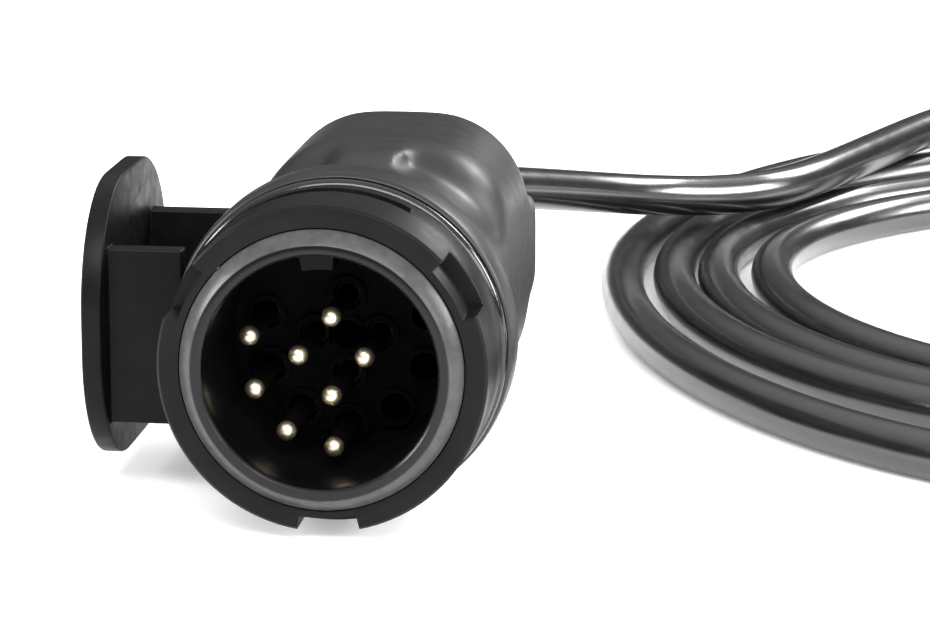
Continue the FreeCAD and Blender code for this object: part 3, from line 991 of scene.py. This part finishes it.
# ---- housing ----------------------------------------------------------------
@dataclass
class Housing:
    """Collar, smooth grip body and ribbed gland nut."""

    flange: float = 23.0
    front: float = 17.6
    waist: float = 19.2
    half_width: float = 18.3
    half_height: float = 21.1
    corner: float = 14.0
    block: tuple[float, float] = (44.0, 88.0)
    end_round: float = 10.5
    tail: float = 9.0
    tail_end: float = 105.0
    grain: float = 0.0007

    def build(self, palette: Palette) -> None:
        """Model the housing in two skins and its nut."""
        collar = lathe("shell_collar", [
            (self.front, 17.7), (self.front, 20.3), (self.front + 0.5, 20.5), (self.front + 0.5, 22.0),
            (self.front + 0.1, self.flange - 0.6), (self.front + 0.6, self.flange - 0.15),
            (19.6, self.flange),
            (24.0, self.flange), (24.4, self.flange - 0.35), (24.4, 17.7), (self.front, 17.7)], 180)
        soften(collar, 0.15, 2, 32)
        dress(collar, palette.shell, PLUG, "shell_plastic", "rear_shell")
        body = lathe("shell_body", [
            (24.2, 0.0), (24.2, self.flange - 0.25), (26.5, self.flange - 0.6), (30.0, self.flange - 1.6),
            (35.0, self.waist + 1.2), (40.0, self.waist + 0.1), (46.0, self.waist - 0.2),
            (56.0, self.waist - 1.2),
            (56.0, 0.0)], 96)
        grip = box("grip", AXIS.at(-self.half_width, self.block[0], -self.half_height),
                   AXIS.at(self.half_width, self.block[1], self.half_height))
        bevel_edges(grip, along(1), self.corner, 12)
        self.round_ends(grip)
        cut(body, grip, Cut.ADD)
        cut(body, lathe("tail_root", [
            (80.0, 0.0), (80.0, 15.5), (88.0, 14.5), (93.0, 11.0), (93.5, 0.0)], 96), Cut.ADD)
        self.melt(body)
        cut(body, lathe("tail", [
            (88.0, 0.0), (88.0, self.tail), (self.tail_end, self.tail), (self.tail_end, 0.0)], 96), Cut.ADD)
        cut(body, lathe("bore", [(23.0, 0.0), (23.0, 17.7), (46.0, 17.7), (50.0, 14.5), (84.0, 14.5),
                                 (86.0, 6.5),
                                 (106.0, 6.5), (106.0, 0.0)], 96))
        smooth(body, 40)
        dress(body, palette.shell, PLUG, "shell_plastic")
        self.nut(palette)

    def round_ends(self, grip: bpy.types.Object) -> None:
        """Round both ends of the grip by insetting and moving its end faces.

        Args:
            grip: the grip, whose corners are rounded already.
        """
        pick(grip)
        for end, way in ((self.block[0], 1.0), (self.block[1], -1.0)):
            bpy.ops.object.mode_set(mode="EDIT")
            bpy.ops.mesh.select_all(action="DESELECT")
            mesh = bmesh.from_edit_mesh(grip.data)
            level = AXIS.front + end * MM
            for face in mesh.faces:
                face.select_set(all(abs(v.co.y - level) < 1e-6 for v in face.verts))
            bmesh.update_edit_mesh(grip.data)
            bpy.ops.transform.translate(value=(0, way * self.end_round * MM, 0))
            last_in, last_out = 0.0, 0.0
            for step in range(1, 9):
                turn = math.radians(step * 90.0 / 8)
                inward = self.end_round * (1 - math.cos(turn))
                outward = self.end_round * math.sin(turn)
                bpy.ops.mesh.inset(thickness=(inward - last_in) * MM, depth=(outward - last_out) * MM)
                last_in, last_out = inward, outward
            bpy.ops.object.mode_set(mode="OBJECT")

    def melt(self, piece: bpy.types.Object) -> None:
        """Blend a piece's joints as one soft moulding."""
        pick(piece)
        remesh = piece.modifiers.new("skin", "REMESH")
        remesh.mode = "VOXEL"
        remesh.voxel_size = self.grain
        bpy.ops.object.modifier_apply(modifier=remesh.name)
        relax = piece.modifiers.new("relax", "SMOOTH")
        relax.factor = 0.5
        relax.iterations = 48
        bpy.ops.object.modifier_apply(modifier=relax.name)

    def nut(self, palette: Palette) -> None:
        """Model the gland nut with its grip grooves."""
        nut = lathe("nut", [
            (94.5, 9.05), (94.5, 10.9), (95.0, 11.5), (108.5, 11.6), (111.2, 9.6), (112.0, 8.1),
            (112.0, 3.85),
            (106.0, 3.85), (106.0, 9.05), (94.5, 9.05)], 144)
        grooves = []
        for index in range(18):
            turn = math.radians(index * 20.0)
            grooves.append(lathe("groove", [(94.0, 0.0), (94.0, 0.75), (108.6, 0.75), (110.0, 0.3),
                                            (110.0, 0.0)], 16,
                                 (11.75 * math.cos(turn), 11.75 * math.sin(turn))))
        cut(nut, join(grooves))
        soften(nut, 0.18, 2, 32)
        dress(nut, palette.nut, PLUG, "nut_plastic", "gland_nut")


# ---- wing -------------------------------------------------------------------
@dataclass
class GripWing:
    """Paddle on two webs, beside the housing."""

    reach: float = 35.0
    thickness: float = 2.8
    run: tuple[float, float] = (17.0, 61.0)
    half_height: float = 19.4
    corner: float = 16.5
    web_heights: tuple[float, float] = (-12.8, 11.2)
    webs: tuple[float, float] = (21.5, 49.0)
    web_thickness: float = 3.0
    root: tuple[float, float] = (22.6, 18.3)

    def build(self, palette: Palette) -> None:
        """Model the paddle and join the webs to it."""
        paddle = box("wing", AXIS.at(-self.reach, self.run[0], -self.half_height),
                     AXIS.at(-self.reach + self.thickness, self.run[1], self.half_height))
        bevel_edges(paddle, along(0), self.corner, 14)
        for start, root in zip(self.webs, self.root):
            web = box("web", AXIS.at(-self.reach + self.thickness / 2, start, self.web_heights[0]),
                      AXIS.at(-root + 0.6, start + self.web_thickness, self.web_heights[1]))
            cut(paddle, web, Cut.ADD)
        soften(paddle, 0.6, 4, 32)
        dress(paddle, palette.wing, PLUG, "wing_plastic", "grip_wing")


# ---- hidden pieces ----------------------------------------------------------
@dataclass
class Inside:
    """Pieces that keep their shape from the frame."""

    def build(self, palette: Palette) -> None:
        """Give each of them its material."""
        plain = {
            "stop_peg": palette.steel, "insert_seal": palette.seal, "insert_clip": palette.steel,
            "cable_clamp": palette.clamp, "clamp_screws": palette.steel, "cable_grommet": palette.seal,
            "terminal_screws": palette.steel, "cable_stub": palette.jacket,
        }
        for number, material in enumerate(palette.cores, 1):
            plain["core_%d" % number] = material
        for name, material in plain.items():
            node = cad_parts[name]
            node.data.materials.clear()
            node.data.materials.append(material)
            log.info("%s keeps its shape", name)


def main() -> None:
    """Build the plug in order."""
    logging.basicConfig(level=logging.INFO, format="%(message)s")
    palette = Palette()
    studio = Studio()
    studio.build()
    lead = Lead()
    lead.build()
    lead.dress(palette)
    ContactInsert().build(palette)
    CouplingRing().build(palette)
    Housing().build(palette)
    GripWing().build(palette)
    Inside().build(palette)


if __name__ == "__main__":
    main()
